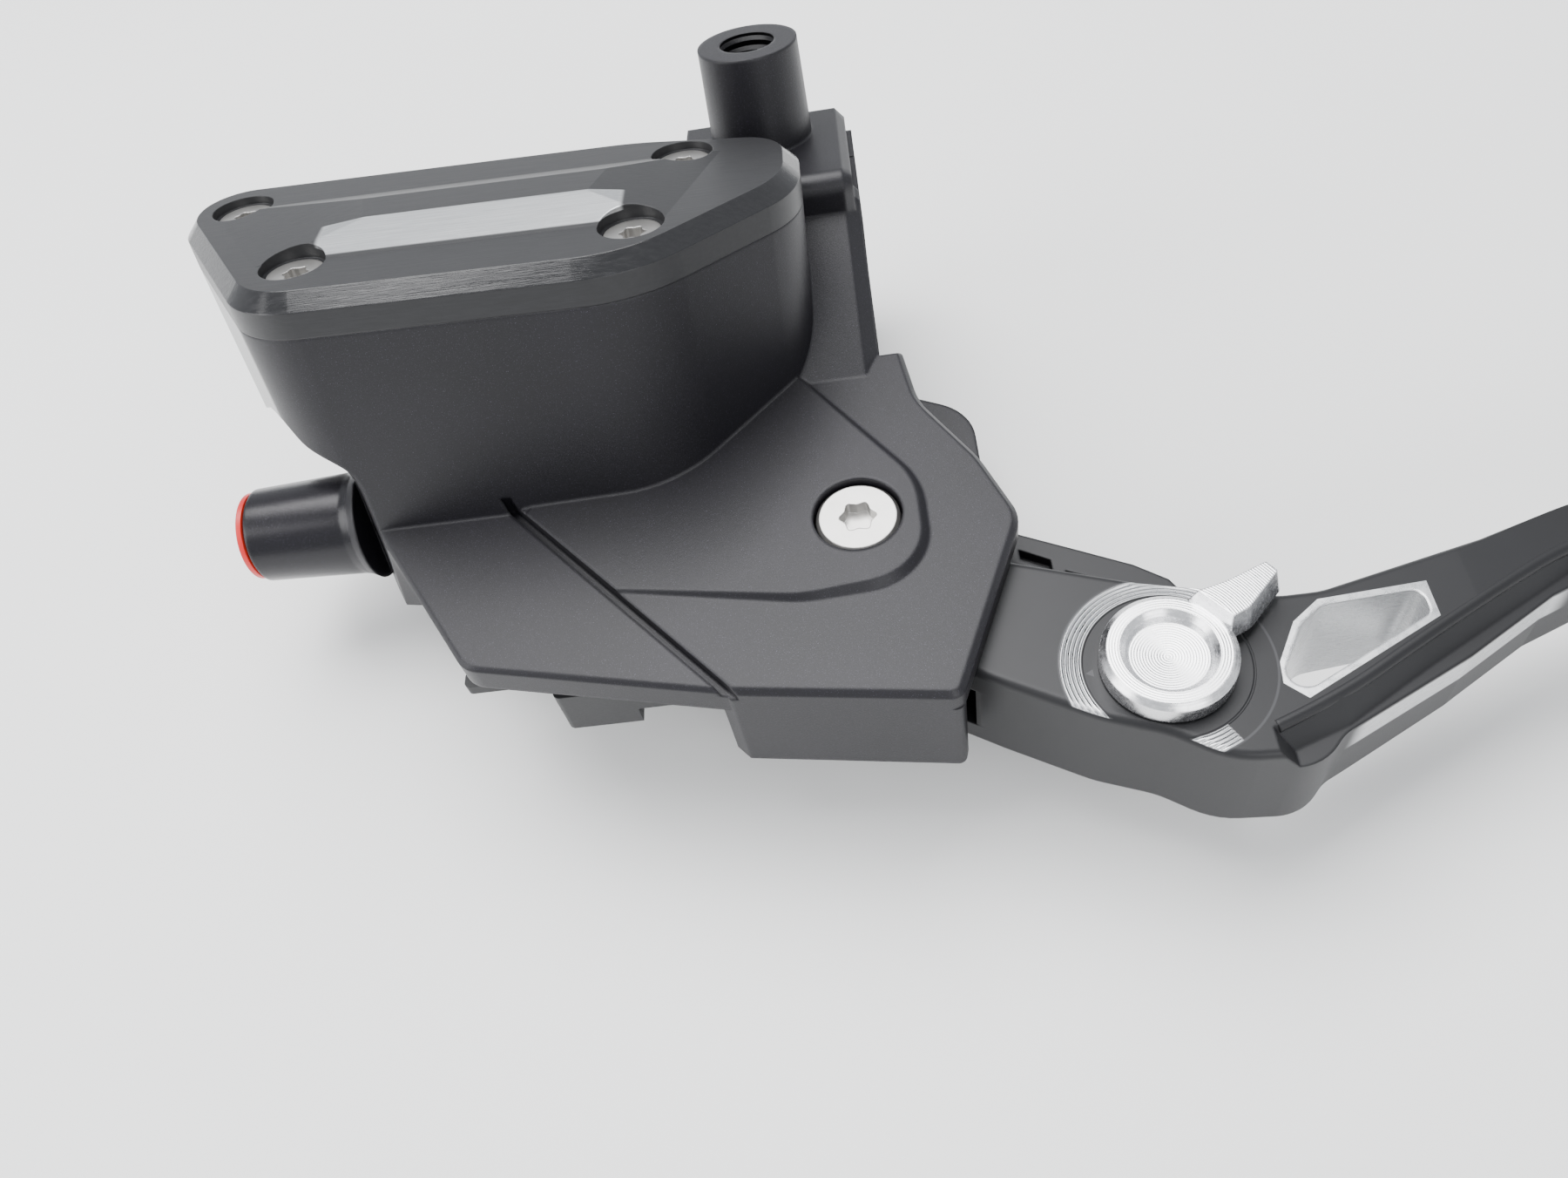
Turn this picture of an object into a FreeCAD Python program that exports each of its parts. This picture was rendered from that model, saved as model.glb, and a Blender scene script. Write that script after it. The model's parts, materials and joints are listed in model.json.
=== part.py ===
"""Handlebar brake master cylinder with reservoir, bar clamp and adjustable hand lever.

Frame: the origin is the centre of the handlebar clamp bore, +X runs along the bar
towards the lever tip, +Z is parallel to the lever pivot, +Y points to the rider.
All sizes are in millimetres.
"""
import FreeCAD
import Part
import Sketcher
import math
import os
from FreeCAD import Placement, Rotation, Vector

doc = FreeCAD.newDocument("BrakeMasterCylinder")
sheet = doc.addObject("Spreadsheet::Sheet", "Dims")
PARTS = []

# ---------------------------------------------------------------- dimensions
DIMENSIONS = [
    ("BarRadius", 11.1),            # 22.2 mm handlebar
    ("ClampLeft", -14.0),
    ("ClampWidth", 27.8),
    ("ClampEar", 22.5),             # half height over the clamp ears
    ("ClampBoltRise", 17.0),        # clamp screws above and below the bar axis
    ("ClampGap", 0.4),              # half of the gap between the clamp halves
    ("ClampCapEar", 8.4),
    ("ClampCapRadius", 17.4),
    ("ScrewSix", 3.0),              # M6 shank radius
    ("CylinderRow", -44.4),         # bore axis in front of the bar axis
    ("BoreRadius", 8.0),
    ("BarrelRadius", 13.0),
    ("BarrelLeft", -70.5),
    ("BarrelRight", -9.0),
    ("TubeEnd", -89.4),
    ("TubeRadius", 7.6),
    ("TubeRootRadius", 8.3),
    ("PortRadius", 4.55),           # M10 x 1 tapped bore
    ("PivotAlong", 8.0),
    ("PivotRow", -67.0),
    ("PivotShank", 4.0),
    ("PivotHead", 5.85),
    ("PivotHeadTop", 14.0),
    ("PivotHeadSeat", 11.4),
    ("BushRadius", 6.0),
    ("SlotTop", 9.9),               # lever slot in the housing
    ("SlotBottom", -9.7),
    ("PlateTop", 13.4),
    ("PanelTop", 12.6),
    ("PanelBottom", 7.8),
    ("SkirtBottom", -5.0),
    ("EarBottom", -14.5),
    ("LidBottom", -4.7),            # heights along the lid normal
    ("LidTop", 1.2),
    ("LidRidge", 3.1),
    ("BowlDepth", 36.0),
    ("WallThickness", 3.2),
    ("ShallowFloor", -15.0),
    ("DeepFloor", -31.0),
    ("LidScrewHead", 4.0),
    ("LidScrewShank", 2.0),
    ("MirrorBoss", 7.75),
    ("MirrorThread", 4.25),         # M10 x 1.5 tapped bore
    ("MirrorBossLength", 16.6),
    ("LeverTop", 9.4),
    ("LeverBottom", -9.0),
    ("CarrierHalf", 4.2),
    ("KnobRadius", 8.45),
    ("KnobAlong", 44.6),
    ("KnobRow", -93.2),
    ("PistonRadius", 7.95),
]


class Size:
    """A number together with the spreadsheet expression that gives it."""

    def __init__(self, value, text):
        self.value = float(value)
        self.text = text

    def combine(self, other, sign, result):
        return Size(result, "(%s %s %s)" % (self.text, sign, words(other)))

    def __add__(self, other):
        return self.combine(other, "+", self.value + number(other))

    def __sub__(self, other):
        return self.combine(other, "-", self.value - number(other))

    def __mul__(self, other):
        return self.combine(other, "*", self.value * number(other))

    def __neg__(self):
        return Size(-self.value, "(0 - %s)" % self.text)


def number(size):
    return size.value if isinstance(size, Size) else float(size)


def words(size):
    return size.text if isinstance(size, Size) else "%.6g" % float(size)


def fill_sheet():
    found = {}
    for row, (alias, value) in enumerate(DIMENSIONS, start=1):
        sheet.set("A%d" % row, alias)
        sheet.set("B%d" % row, "%g" % value)
        sheet.setAlias("B%d" % row, alias)
        found[alias] = Size(value, "Dims.%s" % alias)
    doc.recompute()
    return found


D = fill_sheet()


def bind(feature, name, size):
    """Give a feature's property its value, and its expression if it has one."""
    setattr(feature, name, number(size))
    if isinstance(size, Size):
        feature.setExpression(name, size.text)


# ------------------------------------------------------------ frames in use
# The lid is tilted to the lever plane: its frame sits on the front left screw head.
LID = Placement(Vector(-63.2, -38.4, 45.7), Rotation(0.0, 1.8, -15.1))
# The mirror boss leans towards the rider by 13 degrees.
BOSS = Placement(Vector(-0.6, 5.8, 41.7), Rotation(0.0, 0.0, -13.0))
LEVEL = Placement()

LID_SCREWS = [(0.0, 0.0), (46.3, -0.2), (-14.2, 22.8), (52.1, 23.0)]
LID_OUTLINE = [
    (-5.1, -10.3, 12.0),
    (47.0, -11.0, 20.0),
    (69.0, 9.2, 14.0),
    (69.0, 26.8, 9.0),
    (45.0, 31.8, 40.0),
    (-22.9, 32.3, 9.0),
    (-23.2, 20.2, 10.0),
]


def at(x=0.0, y=0.0, z=0.0):
    return Placement(Vector(x, y, z), Rotation())


def along_x(x, y, z):
    """A frame whose Z axis points along +X of the part, for turned pieces."""
    return Placement(Vector(x, y, z), Rotation(Vector(0, 1, 0), 90))


def inset(corners, distance):
    """The same cornered outline moved inwards by a distance."""
    moved = []
    count = len(corners)
    for i in range(count):
        before = corners[i - 1]
        here = corners[i]
        after = corners[(i + 1) % count]
        a = unit(here[0] - before[0], here[1] - before[1])
        b = unit(after[0] - here[0], after[1] - here[1])
        # inward normals of a counter-clockwise outline
        na = (-a[1], a[0])
        nb = (-b[1], b[0])
        half = 1.0 + na[0] * nb[0] + na[1] * nb[1]
        x = here[0] + distance * (na[0] + nb[0]) / half
        y = here[1] + distance * (na[1] + nb[1]) / half
        turn = a[0] * b[1] - a[1] * b[0]
        radius = corner_radius(here)
        if radius > 0:
            radius = max(radius - distance if turn > 0 else radius + distance, 1.0)
        moved.append((x, y, radius))
    return moved


def unit(x, y):
    length = math.hypot(x, y)
    return (x / length, y / length)


def corner_radius(corner):
    return corner[2] if len(corner) > 2 else 0.0


# ------------------------------------------------------------ sketch helpers
def new_body(name, place=None):
    body = doc.addObject("PartDesign::Body", name)
    body.Label = name
    if place is not None:
        body.Placement = place
    PARTS.append(body)
    return body


def new_sketch(body, name, role="XY_Plane", offset=None):
    planes = [item for item in body.Origin.OriginFeatures if item.Role == role]
    sketch = body.newObject("Sketcher::SketchObject", name)
    sketch.AttachmentSupport = [(planes[0], "")]
    sketch.MapMode = "FlatFace"
    if offset is not None:
        sketch.AttachmentOffset = offset
    return sketch


def outline_pieces(corners):
    """Lines and arcs of a closed outline whose corners may carry a radius."""
    count = len(corners)
    starts = []
    ends = []
    arcs = []
    for i in range(count):
        before = corners[i - 1]
        here = corners[i]
        after = corners[(i + 1) % count]
        radius = corner_radius(here)
        back = unit(before[0] - here[0], before[1] - here[1])
        ahead = unit(after[0] - here[0], after[1] - here[1])
        cosine = max(-1.0, min(1.0, back[0] * ahead[0] + back[1] * ahead[1]))
        half = math.acos(cosine) / 2.0
        if radius <= 0 or abs(half - math.pi / 2) < 1e-4:
            point = Vector(here[0], here[1], 0)
            starts.append(point)
            ends.append(point)
            arcs.append(None)
            continue
        reach = radius / math.tan(half)
        first = Vector(here[0] + back[0] * reach, here[1] + back[1] * reach, 0)
        last = Vector(here[0] + ahead[0] * reach, here[1] + ahead[1] * reach, 0)
        middle = unit(back[0] + ahead[0], back[1] + ahead[1])
        far = radius / math.sin(half)
        centre = Vector(here[0] + middle[0] * far, here[1] + middle[1] * far, 0)
        starts.append(first)
        ends.append(last)
        arcs.append((centre, radius))
    pieces = []
    for i in range(count):
        if arcs[i] is not None:
            centre, radius = arcs[i]
            a = math.atan2(starts[i].y - centre.y, starts[i].x - centre.x)
            b = math.atan2(ends[i].y - centre.y, ends[i].x - centre.x)
            sweep = (b - a) % (2 * math.pi)
            forward = sweep < math.pi
            low, high = (a, b) if forward else (b, a)
            if high < low:
                high += 2 * math.pi
            circle = Part.Circle(centre, Vector(0, 0, 1), radius)
            pieces.append((Part.ArcOfCircle(circle, low, high), forward))
        following = starts[(i + 1) % count]
        if (following - ends[i]).Length > 1e-6:
            pieces.append((Part.LineSegment(ends[i], following), True))
    return pieces


def draw_outline(sketch, corners):
    pieces = outline_pieces(corners)
    indices = [sketch.addGeometry(piece, False) for piece, forward in pieces]
    joins = []
    count = len(pieces)
    for i in range(count):
        j = (i + 1) % count
        tail = 2 if pieces[i][1] else 1
        head = 1 if pieces[j][1] else 2
        joins.append(Sketcher.Constraint("Coincident", indices[i], tail, indices[j], head))
    sketch.addConstraint(joins)


def draw_circle(sketch, x, y, radius):
    circle = Part.Circle(Vector(number(x), number(y), 0), Vector(0, 0, 1), number(radius))
    index = sketch.addGeometry(circle, False)
    hold(sketch, "Radius", [index], radius)
    hold(sketch, "DistanceX", [-1, 1, index, 3], x)
    hold(sketch, "DistanceY", [-1, 1, index, 3], y)


def hold(sketch, kind, items, size):
    """A sketch dimension, bound to the sheet where the size comes from it."""
    value = number(size)
    if kind != "Radius" and abs(value) < 1e-9:
        axis = -2 if kind == "DistanceX" else -1
        sketch.addConstraint(Sketcher.Constraint("PointOnObject", items[2], items[3], axis))
        return
    index = sketch.addConstraint(Sketcher.Constraint(kind, *(items + [value])))
    if isinstance(size, Size):
        sketch.setExpression("Constraints[%d]" % index, size.text)


def draw_polygon(sketch, points):
    """A polygon whose every corner is dimensioned from the sketch origin."""
    count = len(points)
    lines = []
    for i in range(count):
        a = points[i]
        b = points[(i + 1) % count]
        segment = Part.LineSegment(
            Vector(number(a[0]), number(a[1]), 0), Vector(number(b[0]), number(b[1]), 0)
        )
        lines.append(sketch.addGeometry(segment, False))
    for i in range(count):
        j = (i + 1) % count
        sketch.addConstraint(Sketcher.Constraint("Coincident", lines[i], 2, lines[j], 1))
    for i in range(count):
        hold(sketch, "DistanceX", [-1, 1, lines[i], 1], points[i][0])
        hold(sketch, "DistanceY", [-1, 1, lines[i], 1], points[i][1])


def extrude(body, kind, name, sketch, length, back=False, taper=0.0):
    feature = body.newObject("PartDesign::" + kind, name)
    feature.Profile = (sketch, [""])
    bind(feature, "Length", length)
    feature.Reversed = back
    if taper:
        feature.TaperAngle = taper
    body.Tip = feature
    return feature


def pad(body, name, corners, length, role="XY_Plane", offset=None, back=False, taper=0.0):
    sketch = new_sketch(body, name + "Sketch", role, offset)
    draw_outline(sketch, corners)
    return extrude(body, "Pad", name, sketch, length, back, taper)


def pad_circles(body, name, circles, length, role="XY_Plane", offset=None, back=False, taper=0.0):
    sketch = new_sketch(body, name + "Sketch", role, offset)
    for x, y, radius in circles:
        draw_circle(sketch, x, y, radius)
    return extrude(body, "Pad", name, sketch, length, back, taper)


def cut(body, name, corners, length, role="XY_Plane", offset=None, back=False, taper=0.0):
    sketch = new_sketch(body, name + "Sketch", role, offset)
    draw_outline(sketch, corners)
    return extrude(body, "Pocket", name, sketch, length, back, taper)


def drill(body, name, circles, length, role="XY_Plane", offset=None, back=False):
    sketch = new_sketch(body, name + "Sketch", role, offset)
    for x, y, radius in circles:
        draw_circle(sketch, x, y, radius)
    return extrude(body, "Pocket", name, sketch, length, back)


def turn(body, name, points, kind="Revolution", role="XZ_Plane", offset=None, axis="V_Axis"):
    """Revolve a polygon: on the XZ plane the points are (radius, height)."""
    sketch = new_sketch(body, name + "Sketch", role, offset)
    draw_polygon(sketch, points)
    feature = body.newObject("PartDesign::" + kind, name)
    feature.Profile = (sketch, [""])
    feature.ReferenceAxis = (sketch, [axis])
    feature.Angle = 360.0
    body.Tip = feature
    return feature


def turned_part(name, points, place):
    """A whole piece made by turning one profile about its own Z axis."""
    body = new_body(name, place)
    turn(body, "Turned", points)
    return body


def edge_names(shape, wanted):
    return ["Edge%d" % (i + 1) for i, edge in enumerate(shape.Edges) if wanted(edge)]


def round_edges(body, name, wanted, radius, kind="Fillet"):
    """Round or chamfer the tip's edges that pass a test; the test must find some."""
    doc.recompute()
    base = body.Tip
    names = edge_names(base.Shape, wanted)
    feature = body.newObject("PartDesign::" + kind, name)
    feature.Base = (base, names)
    if kind == "Fillet":
        feature.Radius = radius
    else:
        feature.Size = radius
    body.Tip = feature
    doc.recompute()
    return feature


def flat_at(edge, z, slack=0.02):
    """Whether an edge lies wholly at one height."""
    box = edge.BoundBox
    return abs(box.ZMin - z) < slack and abs(box.ZMax - z) < slack


# ------------------------------------------------------------------- housing
CYLINDER = at(0.0, -44.4, 0.0)
LEFT_PANEL = [
    (-63.5, -56.5),
    (-47.2, -83.4, 4.5),
    (-8.5, -92.4),
    (-8.5, -80.0),
    (-30.0, -56.0),
]
PIVOT_PLATE = [
    (-41.4, -58.0),
    (-10.8, -92.3, 0.6),
    (18.6, -96.7, 2.0),
    (30.0, -69.6, 6.0),
    (25.8, -58.2, 20.0),
    (18.6, -46.0, 12.0),
    (17.2, -35.5, 0.8),
    (13.8, -35.5),
    (13.8, -14.0),
    (-14.0, -14.0),
    (-30.0, -40.0),
]
PLATFORM = [
    (-36.0, -50.0),
    (-40.2, -59.4),
    (-26.8, -74.4),
    (-0.5, -79.9, 20.0),
    (17.5, -78.9, 9.5),
    (17.5, -61.5, 14.0),
    (0.0, -36.3),
]
SKIRT = [
    (-12.6, -90.3),
    (-10.8, -92.3, 0.6),
    (18.6, -96.7, 1.2),
    (19.5, -93.4, 1.2),
    (-9.3, -89.1, 2.0),
    (-10.6, -87.6),
]
LOWER_EAR = [
    (-14.0, -14.0),
    (-14.0, -52.0, 2.0),
    (-4.5, -60.0, 4.0),
    (-3.5, -79.0, 10.0),
    (19.5, -79.0, 10.0),
    (19.5, -66.0, 6.0),
    (28.2, -46.0, 9.0),
    (28.2, -29.0, 9.0),
    (13.8, -21.5, 1.5),
    (13.8, -14.0),
]
LEVER_SLOT = [
    (-9.0, -36.6, 1.0),
    (-9.0, -58.4, 1.0),
    (-36.2, -58.4, 1.0),
    (-9.3, -89.1, 1.5),
    (19.5, -93.4),
    (45.0, -93.4),
    (45.0, -36.6),
]
# Seen along the bar: front half of the clamp with the web that carries the barrel.
CLAMP_FRONT = [
    (-0.4, -22.5, 1.0),
    (-0.4, 22.9),
    (-17.0, 22.9),
    (-17.0, 13.4),
    (-36.5, 13.4),
    (-36.5, -14.5),
    (-24.0, -14.5, 2.0),
    (-15.0, -22.5, 4.0),
]
MIRROR_BLOCK = [
    (-16.8, 14.0),
    (-16.8, 31.7, 2.5),
    (10.6, 25.2, 1.2),
    (10.6, 23.4, 0.4),
    (-1.4, 23.4),
    (-1.4, 14.0),
]
# The sloping shoulder that carries the clamp down onto the bracket.
SHOULDER = [
    (-45.0, 10.0),
    (-40.6, 13.2, 6.0),
    (-14.2, 26.6, 2.0),
    (-9.0, 26.6),
    (-9.0, 12.0),
    (-14.0, 10.0),
]
END_BLOCK = [
    (-33.0, -10.5, 2.0),
    (-53.0, -11.5, 4.0),
    (-58.6, -6.0, 3.0),
    (-58.3, 9.0),
    (-55.3, 20.0, 4.0),
    (-42.0, 22.0),
    (-33.0, 14.0),
]
# Lower left of the bowl: the profile that trims it, seen in the bowl's front wall.
BOWL_TRIM = [
    (-4.9, -12.5),
    (-3.9, -14.7),
    (-3.1, -17.2),
    (-2.1, -19.7),
    (-0.4, -21.8),
    (1.5, -23.7),
    (2.6, -25.2),
    (3.2, -27.5),
    (3.3, -30.0),
]


def in_lid(x=0.0, y=0.0, z=0.0):
    return LID.multiply(at(x, y, z))


def facing_rear(x, y, z):
    """A frame in the lid's axes whose Z axis points to the front of the bowl."""
    return LID.multiply(Placement(Vector(x, y, z), Rotation(Vector(1, 0, 0), 90)))


def trim_bowl(body):
    sketch = new_sketch(body, "BowlTrimSketch", "XY_Plane", facing_rear(0.0, -12.6, 0.0))
    points = [Vector(x, z, 0) for x, z in BOWL_TRIM]
    curve = Part.BSplineCurve()
    curve.interpolate(points)
    far = [Vector(3.1, -60, 0), Vector(-60, -60, 0), Vector(-60, -9, 0)]
    sketch.addGeometry(curve, False)
    path = [points[-1]] + far + [points[0]]
    for a, b in zip(path[:-1], path[1:]):
        sketch.addGeometry(Part.LineSegment(a, b), False)
    feature = extrude(body, "Pocket", "BowlTrim", sketch, 90.0)
    feature.UseCustomVector = True
    direction = LID.Rotation.multVec(Vector(-0.41, 0.80, -0.45))
    feature.Direction = direction
    feature.AlongSketchNormal = False
    return feature


def screw_tab(body, name, x, y, reach, floor):
    """A tapped column in the bowl, joined to the nearest wall a signed reach away."""
    half = 4.4
    side = -1.0 if reach < 0 else 1.0
    corners = [
        (x - half, y - side * half, 4.3),
        (x + half, y - side * half, 4.3),
        (x + half, y + reach - side * 3.0),
        (x + 1.0, y + reach),
        (x - 1.0, y + reach),
        (x - half, y + reach - side * 3.0),
    ]
    place = in_lid(0.0, 0.0, number(floor))
    pad(body, name, corners, D["LidBottom"] - floor, offset=place)


def make_bowl(body):
    top = in_lid(0.0, 0.0, number(D["LidBottom"]))
    pad(body, "Bowl", LID_OUTLINE, D["BowlDepth"], offset=top, back=True, taper=-1.2)
    trim_bowl(body)


def rimmed_pad(body, name, corners, low, high, rim):
    """A plate whose upper edge is bevelled by the height of the rim."""
    middle = high - rim
    pad(body, name, corners, middle - low, offset=at(z=number(low)))
    pad(body, name + "Rim", corners, rim, offset=at(z=number(middle)), taper=-45.0)


def make_base(body):
    rimmed_pad(body, "Plate", PIVOT_PLATE, D["SlotTop"], D["PlateTop"], 0.8)
    rimmed_pad(body, "Panel", LEFT_PANEL, D["PanelBottom"], D["PanelTop"], 0.6)
    step = number(D["PlateTop"])
    pad(body, "Platform", PLATFORM, 1.25, offset=at(z=step), taper=-40.0)
    # the platform fades out towards the left
    slope = [(-45.0, step + 0.02), (-45.0, step + 3.0), (9.0, step + 3.0), (9.0, step + 1.25)]
    cut(body, "PlatformSlope", slope, 90.0, "XZ_Plane", at(z=90.0))


def make_blocks(body):
    height = D["SlotTop"] - D["SkirtBottom"]
    pad(body, "Skirt", SKIRT, height, offset=at(z=number(D["SkirtBottom"])))
    length = D["BarrelRight"] - D["BarrelLeft"]
    left = number(D["BarrelLeft"])
    circles = [(D["CylinderRow"], 0.0, D["BarrelRadius"])]
    pad_circles(body, "Barrel", circles, length, "YZ_Plane", at(z=left))
    pad(body, "EndBlock", END_BLOCK, 25.0, "YZ_Plane", at(z=left))
    corner = [(-72.0, -52.6), (-62.5, -57.6, 4.0), (-60.0, -66.0), (-72.0, -66.0)]
    cut(body, "EndCorner", corner, 60.0, offset=at(z=30.0))
    left = number(D["ClampLeft"])
    pad(body, "ClampFront", CLAMP_FRONT, D["ClampWidth"], "YZ_Plane", at(z=left))
    pad(body, "MirrorBlock", MIRROR_BLOCK, 24.7, "YZ_Plane", at(z=-13.2))
    pad(body, "MirrorBlockEdge", MIRROR_BLOCK, 1.4, "YZ_Plane", at(z=11.5), taper=-40.0)
    pad(body, "Shoulder", SHOULDER, 24.8, "YZ_Plane", at(z=-13.4))
    pad(body, "ShoulderEdge", SHOULDER, 2.3, "YZ_Plane", at(z=11.4), taper=-42.0)
    height = D["SlotBottom"] - D["EarBottom"]
    pad(body, "LowerEar", LOWER_EAR, height, offset=at(z=number(D["EarBottom"])))


def make_mirror_boss(body):
    circles = [(0.0, 0.0, D["MirrorBoss"])]
    length = D["MirrorBossLength"]
    pad_circles(body, "MirrorBoss", circles, length, offset=BOSS, back=True, taper=1.2)


def make_tube(body):
    points = [
        (D["TubeEnd"], 0.0),
        (D["TubeEnd"], D["TubeRadius"] - 0.9),
        (D["TubeEnd"] + 0.7, D["TubeRadius"]),
        (D["BarrelLeft"] - 2.2, D["TubeRootRadius"]),
        (D["BarrelLeft"] - 0.8, D["TubeRootRadius"] + 0.3),
        (D["BarrelLeft"] + 0.6, D["TubeRootRadius"] + 1.0),
        (D["BarrelLeft"] + 0.6, 0.0),
    ]
    turn(body, "OutletTube", points, "Revolution", "XY_Plane", CYLINDER, "H_Axis")


def cut_openings(body):
    height = D["SlotTop"] - D["SlotBottom"]
    cut(body, "LeverSlot", LEVER_SLOT, height, offset=at(z=number(D["SlotTop"])))
    groove = [(-43.8, -56.0), (-42.2, -56.0), (-9.5, -92.7), (-11.1, -92.7)]
    cut(body, "PanelGroove", groove, 4.0, offset=at(z=15.4))
    circles = [(0.0, 0.0, D["BarRadius"])]
    drill(body, "BarBore", circles, 60.0, "YZ_Plane", at(z=30.0))
    circles = [(D["PivotAlong"], D["PivotRow"], D["PivotShank"] + 0.04)]
    drill(body, "PivotBore", circles, 40.0, offset=at(z=20.0))
    circles = [(D["PivotAlong"], D["PivotRow"], D["PivotHead"] + 0.35)]
    seat = number(D["PivotHeadSeat"])
    drill(body, "PivotSeat", circles, 18.0 - seat, offset=at(z=18.0))
    middle = number(D["ClampLeft"]) + number(D["ClampWidth"]) / 2
    rise = D["ClampBoltRise"]
    circles = [(middle, rise, D["ScrewSix"] + 0.02), (middle, -rise, D["ScrewSix"] + 0.02)]
    drill(body, "ClampThreads", circles, 15.0, "XZ_Plane", LEVEL, True)
    drill(body, "MirrorThread", [(0.0, 0.0, D["MirrorThread"])], 17.0, offset=BOSS)
    threads = [(-35.6, -74.0, 1.27), (-19.5, -74.0, 1.27)]
    drill(body, "SwitchThreads", threads, 6.0, offset=at(z=11.8))


def cut_cylinder(body):
    bore = D["BoreRadius"]
    right = D["BarrelRight"]
    points = [
        (right + 1.0, 0.0),
        (right + 1.0, bore + 1.8),
        (right - 3.5, bore + 1.8),
        (right - 3.5, bore),
        (right - 5.0, bore),
        (right - 5.0, bore + 0.9),
        (right - 6.2, bore + 0.9),
        (right - 6.2, bore),
        (-57.0, bore),
        (-58.2, 2.0),
        (D["BarrelLeft"], 2.0),
        (D["BarrelLeft"] - 1.8, D["PortRadius"]),
        (D["TubeEnd"] - 1.0, D["PortRadius"]),
        (D["TubeEnd"] - 1.0, 0.0),
    ]
    turn(body, "CylinderBore", points, "Groove", "XY_Plane", CYLINDER, "H_Axis")


def cut_reservoir(body):
    wall = number(D["WallThickness"])
    top = in_lid(0.0, 0.0, number(D["LidBottom"]))
    cut(body, "ShallowCavity", inset(LID_OUTLINE, wall), D["LidBottom"] - D["ShallowFloor"], offset=top)
    deep = [
        (8.0, -6.9, 3.0),
        (48.0, -6.9, 3.0),
        (48.0, 28.3, 3.0),
        (8.0, 28.9, 3.0),
    ]
    cut(body, "DeepCavity", deep, D["LidBottom"] - D["DeepFloor"], offset=top)
    floors = [D["ShallowFloor"], D["DeepFloor"], D["ShallowFloor"], D["ShallowFloor"]]
    reaches = [-8.2, -8.2, 7.2, 6.6]
    for i, (x, y) in enumerate(LID_SCREWS):
        screw_tab(body, "ScrewColumn%d" % (i + 1), x, y, reaches[i], floors[i])
    circles = [(x, y, D["LidScrewShank"] + 0.02) for x, y in LID_SCREWS]
    drill(body, "LidThreads", circles, 9.5, offset=top)
    row = D["CylinderRow"]
    drill(body, "FluidPorts", [(-32.0, row, 1.5), (-42.0, row, 0.5)], 13.0, offset=at(z=20.0))


def cut_sight_window(body):
    pad_circles(body, "WindowBoss", [(0.0, 0.0, 9.2)], 4.0, offset=facing_rear(22.0, 33.4, -17.0))
    face = facing_rear(22.0, 33.4, -17.0)
    drill(body, "WindowSeat", [(0.0, 0.0, 7.5)], 2.4, offset=face, back=True)
    drill(body, "WindowHole", [(0.0, 0.0, 5.6)], 7.0, offset=face, back=True)


def make_housing():
    body = new_body("master_cylinder_housing")
    make_base(body)
    make_blocks(body)
    make_bowl(body)
    make_mirror_boss(body)
    make_tube(body)
    cut_openings(body)
    cut_reservoir(body)
    cut_sight_window(body)
    cut_cylinder(body)
    return body


# -------------------------------------------------------- reservoir and lid
CUP = [
    (10.5, -5.5, 3.0),
    (36.0, -5.5, 3.0),
    (47.0, 10.0, 4.0),
    (46.3, 26.2, 4.0),
    (-8.3, 26.2, 4.0),
    (-8.3, 16.0, 4.0),
    (-1.0, 10.0, 4.0),
]
PANEL_BASE = [(-5.5, 0.4), (50.8, 0.3), (58.0, 22.4), (-19.0, 22.3)]
PANEL_RIDGE = [(8.5, 8.6), (40.0, 8.4), (42.0, 15.6), (6.5, 15.6)]


def star(x, y, outer, inner):
    """The six-lobed socket of a screw head, as a rounded outline."""
    corners = []
    for i in range(12):
        radius = outer if i % 2 == 0 else inner
        angle = math.pi * i / 6.0
        rounding = 0.18 * outer
        corners.append((x + radius * math.cos(angle), y + radius * math.sin(angle), rounding))
    return corners


def hexagon(x, y, across_flats):
    reach = across_flats / math.sqrt(3.0)
    turns = [math.pi * (i + 0.5) / 3.0 for i in range(6)]
    return [(x + reach * math.cos(turn), y + reach * math.sin(turn)) for turn in turns]


def many_bodies(name, place=None):
    """A body that may hold several like pieces, each a solid of its own."""
    body = new_body(name, place)
    body.AllowCompound = True
    return body


def cut_shapes(body, name, shapes, length, role="XY_Plane", offset=None, back=False):
    sketch = new_sketch(body, name + "Sketch", role, offset)
    for corners in shapes:
        draw_outline(sketch, corners)
    return extrude(body, "Pocket", name, sketch, length, back)


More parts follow.
